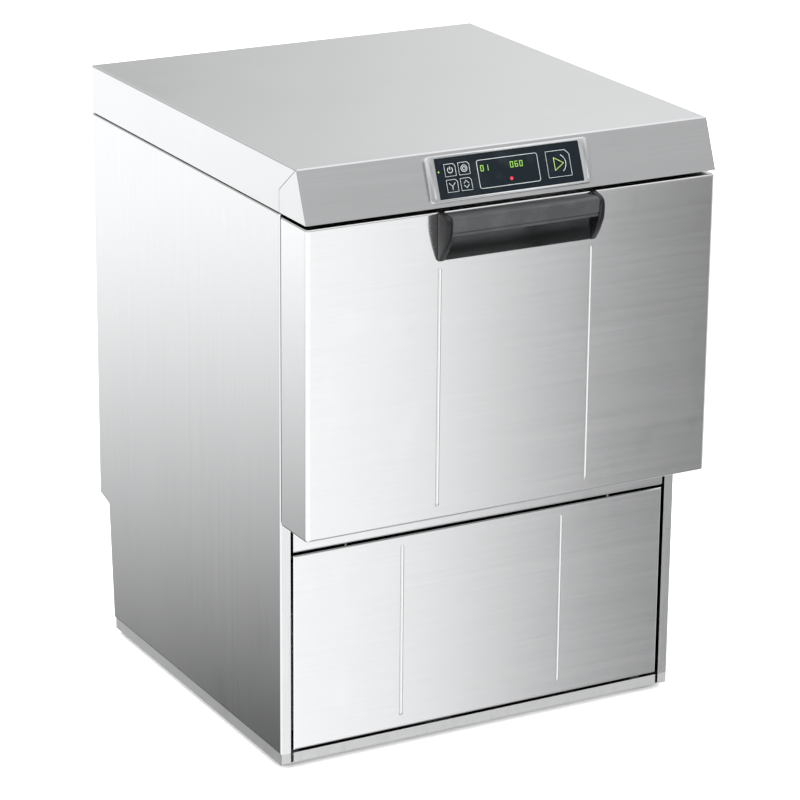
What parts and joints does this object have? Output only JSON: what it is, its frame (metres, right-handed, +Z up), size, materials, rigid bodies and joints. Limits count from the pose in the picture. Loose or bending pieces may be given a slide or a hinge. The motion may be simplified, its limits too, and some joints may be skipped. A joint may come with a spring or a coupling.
{
  "type": "commercial dishwasher",
  "caption": "Under-counter front-loading commercial dishwasher: steel cabinet with overhanging drop-down door, slanted control fascia, spray arms, tank and pump.",
  "frame": {"origin": "middle of the footprint on the floor", "axes": "+Z up; the door faces -Y; +X is the right-hand side seen from behind the front"},
  "size_m": [0.6, 0.676, 0.826],
  "materials": {
    "brushed_cover": "brushed along X, satin",
    "brushed_side": "brushed upright, satin",
    "brushed_door": "brushed along X, satin",
    "brushed_front": "brushed along X, satin",
    "brushed_base": "brushed along X, satin",
    "plain_steel": "mill finish",
    "chamber_steel": "fine satin",
    "strainer_steel": "satin",
    "arm_steel": "polished",
    "element_steel": "heat tinted",
    "screw_steel": "bright",
    "bezel_silver": "satin chrome",
    "window_gloss": "gloss",
    "handle_gloss": "gloss",
    "grip_satin": "satin",
    "gasket_rubber": "matte",
    "black_plastic": "matte",
    "grey_plastic": "matte",
    "foot_plastic": "matte",
    "motor_paint": "satin paint",
    "box_paint": "satin paint",
    "board_green": "solder mask",
    "brass_fitting": "machined"
  },
  "bodies": {
    "cabinet": {"top_cover": "brushed_cover", "side_panel_left": "brushed_side", "side_panel_right": "brushed_side", "rear_panel_upper": "plain_steel", "rear_panel_lower": "plain_steel", "base_tray": "brushed_base", "door_sill": "brushed_front", "service_panel": "brushed_front", "panel_screws": "screw_steel", "wash_chamber": "chamber_steel", "chamber_frame": "chamber_steel", "rack_rail_left": "chamber_steel", "rack_rail_right": "chamber_steel", "tank_strainer": "strainer_steel", "suction_filter": "strainer_steel", "tank_element": "element_steel", "lower_arm_hub": "chamber_steel", "upper_arm_hub": "chamber_steel", "wash_pump_housing": "black_plastic", "wash_pump_motor": "motor_paint", "wash_pipes": "grey_plastic", "drain_pump_housing": "black_plastic", "rinse_boiler": "plain_steel", "boiler_element": "element_steel", "dosing_pump_housing": "grey_plastic", "electrical_box": "box_paint", "water_inlet": "brass_fitting", "inlet_valve": "black_plastic", "drain_outlet": "grey_plastic", "cable_gland": "black_plastic", "hinge_brackets": "plain_steel", "hinge_pins": "screw_steel", "control_bezel": "bezel_silver", "control_window": "window_gloss", "control_board": "board_green"},
    "door": {"door_outer_skin": "brushed_door", "door_inner_skin": "chamber_steel", "door_gasket": "gasket_rubber", "handle_grip": "grip_satin", "handle_end_left": "handle_gloss", "handle_end_right": "handle_gloss", "door_hinge_plates": "plain_steel", "door_springs": "screw_steel"},
    "power_key": {"power_key": "window_gloss"},
    "program_key": {"program_key": "window_gloss"},
    "drain_key": {"drain_key": "window_gloss"},
    "selector_key": {"selector_key": "window_gloss"},
    "start_key": {"start_key": "window_gloss"},
    "lower_wash_arm": {"lower_wash_arm": "arm_steel"},
    "upper_wash_arm": {"upper_wash_arm": "arm_steel"},
    "lower_rinse_arm": {"lower_rinse_arm": "arm_steel"},
    "upper_rinse_arm": {"upper_rinse_arm": "arm_steel"},
    "wash_pump_rotor": {"wash_pump_rotor": "black_plastic"},
    "drain_pump_rotor": {"drain_pump_rotor": "grey_plastic"},
    "dosing_pump_rotor": {"dosing_pump_rotor": "black_plastic"},
    "overflow_pipe": {"overflow_pipe": "grey_plastic"},
    "foot_front_left": {"foot_front_left": "foot_plastic"},
    "foot_rear_left": {"foot_rear_left": "foot_plastic"},
    "foot_front_right": {"foot_front_right": "foot_plastic"},
    "foot_rear_right": {"foot_rear_right": "foot_plastic"}
  },
  "joints": [
    {"name": "door_hinge", "type": "hinge", "parent": "cabinet", "child": "door", "pos_m": [0, -0.262, 0.357], "axis": [1, 0, 0], "range_deg": [0, 90], "stiffness_Nm_per_rad": 3.8, "springref_deg": -30.14},
    {"name": "power_key_press", "type": "slide", "parent": "cabinet", "child": "power_key", "axis": [0, 0.9295, -0.3689], "range_m": [0, 0.0006], "stiffness_N_per_m": 2000, "springref_m": -0.0004},
    {"name": "program_key_press", "type": "slide", "parent": "cabinet", "child": "program_key", "axis": [0, 0.9295, -0.3689], "range_m": [0, 0.0006], "stiffness_N_per_m": 2000, "springref_m": -0.0004},
    {"name": "drain_key_press", "type": "slide", "parent": "cabinet", "child": "drain_key", "axis": [0, 0.9295, -0.3689], "range_m": [0, 0.0006], "stiffness_N_per_m": 2000, "springref_m": -0.0004},
    {"name": "selector_key_press", "type": "slide", "parent": "cabinet", "child": "selector_key", "axis": [0, 0.9295, -0.3689], "range_m": [0, 0.0006], "stiffness_N_per_m": 2000, "springref_m": -0.0004},
    {"name": "start_key_press", "type": "slide", "parent": "cabinet", "child": "start_key", "axis": [0, 0.9295, -0.3689], "range_m": [0, 0.0006], "stiffness_N_per_m": 2000, "springref_m": -0.0004},
    {"name": "lower_wash_arm_spin", "type": "hinge", "parent": "cabinet", "child": "lower_wash_arm", "pos_m": [0, 0.0235, 0.359], "axis": [0, 0, 1], "continuous": true},
    {"name": "upper_wash_arm_spin", "type": "hinge", "parent": "cabinet", "child": "upper_wash_arm", "pos_m": [0, 0.0235, 0.7], "axis": [0, 0, 1], "continuous": true},
    {"name": "lower_rinse_arm_spin", "type": "hinge", "parent": "cabinet", "child": "lower_rinse_arm", "pos_m": [0, 0.0235, 0.359], "axis": [0, 0, 1], "continuous": true},
    {"name": "upper_rinse_arm_spin", "type": "hinge", "parent": "cabinet", "child": "upper_rinse_arm", "pos_m": [0, 0.0235, 0.7], "axis": [0, 0, 1], "continuous": true},
    {"name": "wash_pump_rotor_spin", "type": "hinge", "parent": "cabinet", "child": "wash_pump_rotor", "pos_m": [-0.14, 0.1135, 0.1], "axis": [0, 1, 0], "continuous": true},
    {"name": "drain_pump_rotor_spin", "type": "hinge", "parent": "cabinet", "child": "drain_pump_rotor", "pos_m": [0.06, -0.1265, 0.062], "axis": [0, 1, 0], "continuous": true},
    {"name": "dosing_pump_rotor_spin", "type": "hinge", "parent": "cabinet", "child": "dosing_pump_rotor", "pos_m": [-0.04, -0.199, 0.09], "axis": [0, 1, 0], "continuous": true},
    {"name": "overflow_lift", "type": "slide", "parent": "cabinet", "child": "overflow_pipe", "axis": [0, 0, 1], "range_m": [0, 0.008]},
    {"name": "foot_front_left_screw", "type": "slide", "parent": "cabinet", "child": "foot_front_left", "axis": [0, 0, -1], "range_m": [0, 0.012]},
    {"name": "foot_rear_left_screw", "type": "slide", "parent": "cabinet", "child": "foot_rear_left", "axis": [0, 0, -1], "range_m": [0, 0.012]},
    {"name": "foot_front_right_screw", "type": "slide", "parent": "cabinet", "child": "foot_front_right", "axis": [0, 0, -1], "range_m": [0, 0.012]},
    {"name": "foot_rear_right_screw", "type": "slide", "parent": "cabinet", "child": "foot_rear_right", "axis": [0, 0, -1], "range_m": [0, 0.012]}
  ]
}
